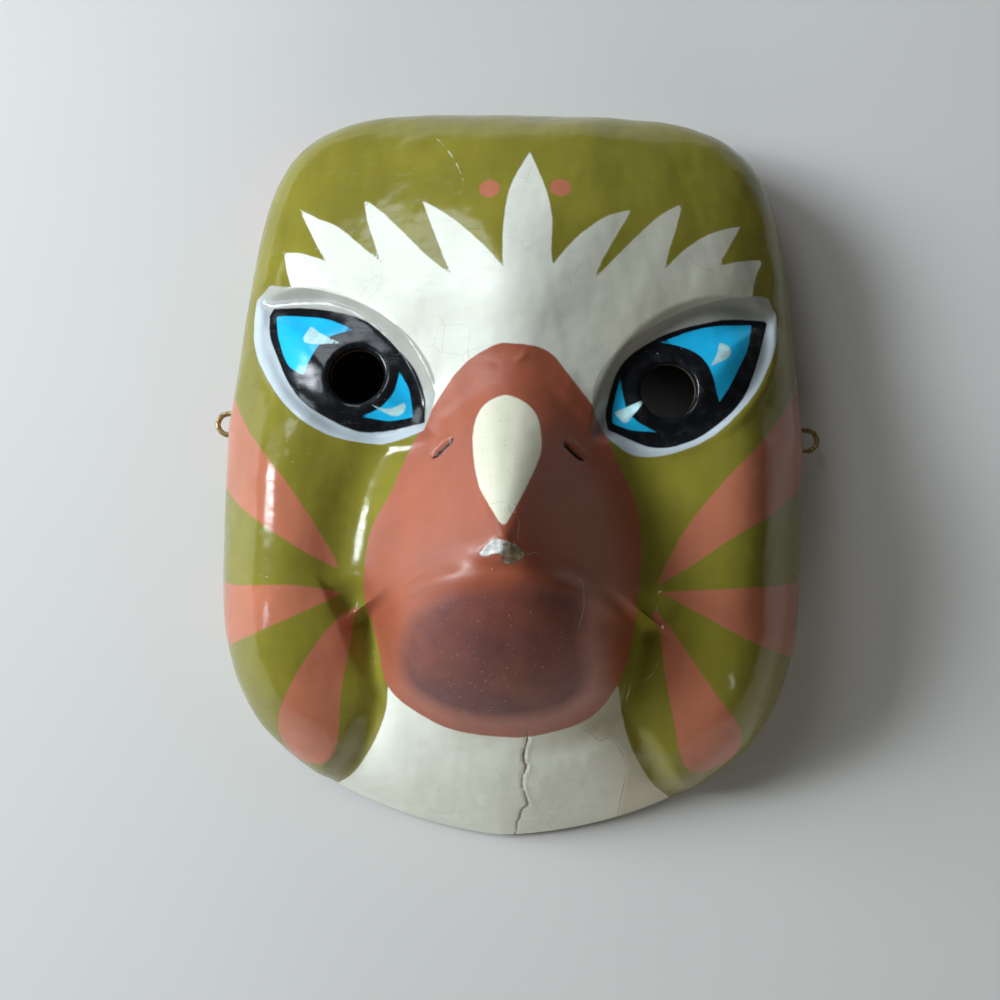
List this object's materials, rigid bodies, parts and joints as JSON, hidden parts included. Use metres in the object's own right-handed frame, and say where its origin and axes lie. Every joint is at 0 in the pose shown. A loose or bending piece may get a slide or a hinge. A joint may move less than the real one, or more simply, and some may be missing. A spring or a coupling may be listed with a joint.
{
  "type": "bird wall mask",
  "caption": "Wall mask of moulded, painted and varnished paper: a bird's face with a big rounded beak, round eye holes and a wire eye at each side.",
  "frame": {"origin": "middle of the flat rim that the mask lies on, under the centre of its bounding box", "axes": "+Z out of the face, +Y towards the crown of the head, +X to the right as seen from the front"},
  "size_m": [0.2044, 0.2408, 0.091],
  "materials": {
    "painted_paper": "gloss",
    "brass_wire": "satin"
  },
  "bodies": {
    "root": {"mask_shell": "painted_paper", "wire_loop_left": "brass_wire", "wire_loop_right": "brass_wire"}
  },
  "joints": []
}
